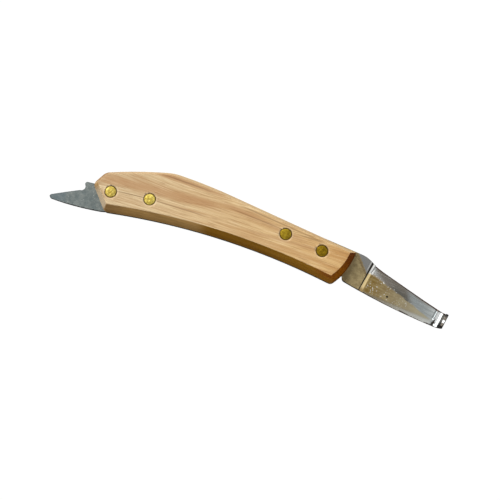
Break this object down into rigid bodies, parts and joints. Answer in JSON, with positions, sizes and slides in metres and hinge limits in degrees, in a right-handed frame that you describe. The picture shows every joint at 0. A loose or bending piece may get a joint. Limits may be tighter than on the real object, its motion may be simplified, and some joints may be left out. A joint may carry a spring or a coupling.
{
  "type": "hoof knife",
  "caption": "Full-tang farrier's hoof knife: wooden scales held by cutler's rivets, ground blade with a curled hook, and a pointed hoof pick at the butt.",
  "frame": {"origin": "on the flat outer face of the back scale, under the middle of the handle", "axes": "+X from the hoof pick to the hook, +Y towards the spine, +Z out of the front scale's face"},
  "size_m": [0.2251, 0.0373, 0.0188],
  "materials": {
    "steel": "satin, matte on the pick and ricasso, ground and polished on the blade",
    "wood": "pale close-grained hardwood, sanded and oiled",
    "rivet_brass": "satin, lightly peened"
  },
  "bodies": {
    "root": {"blade_blank": "steel", "front_scale": "wood", "back_scale": "wood", "rivet_1_male": "rivet_brass", "rivet_1_female": "rivet_brass", "rivet_2_male": "rivet_brass", "rivet_2_female": "rivet_brass", "rivet_3_male": "rivet_brass", "rivet_3_female": "rivet_brass", "rivet_4_male": "rivet_brass", "rivet_4_female": "rivet_brass"}
  },
  "joints": []
}
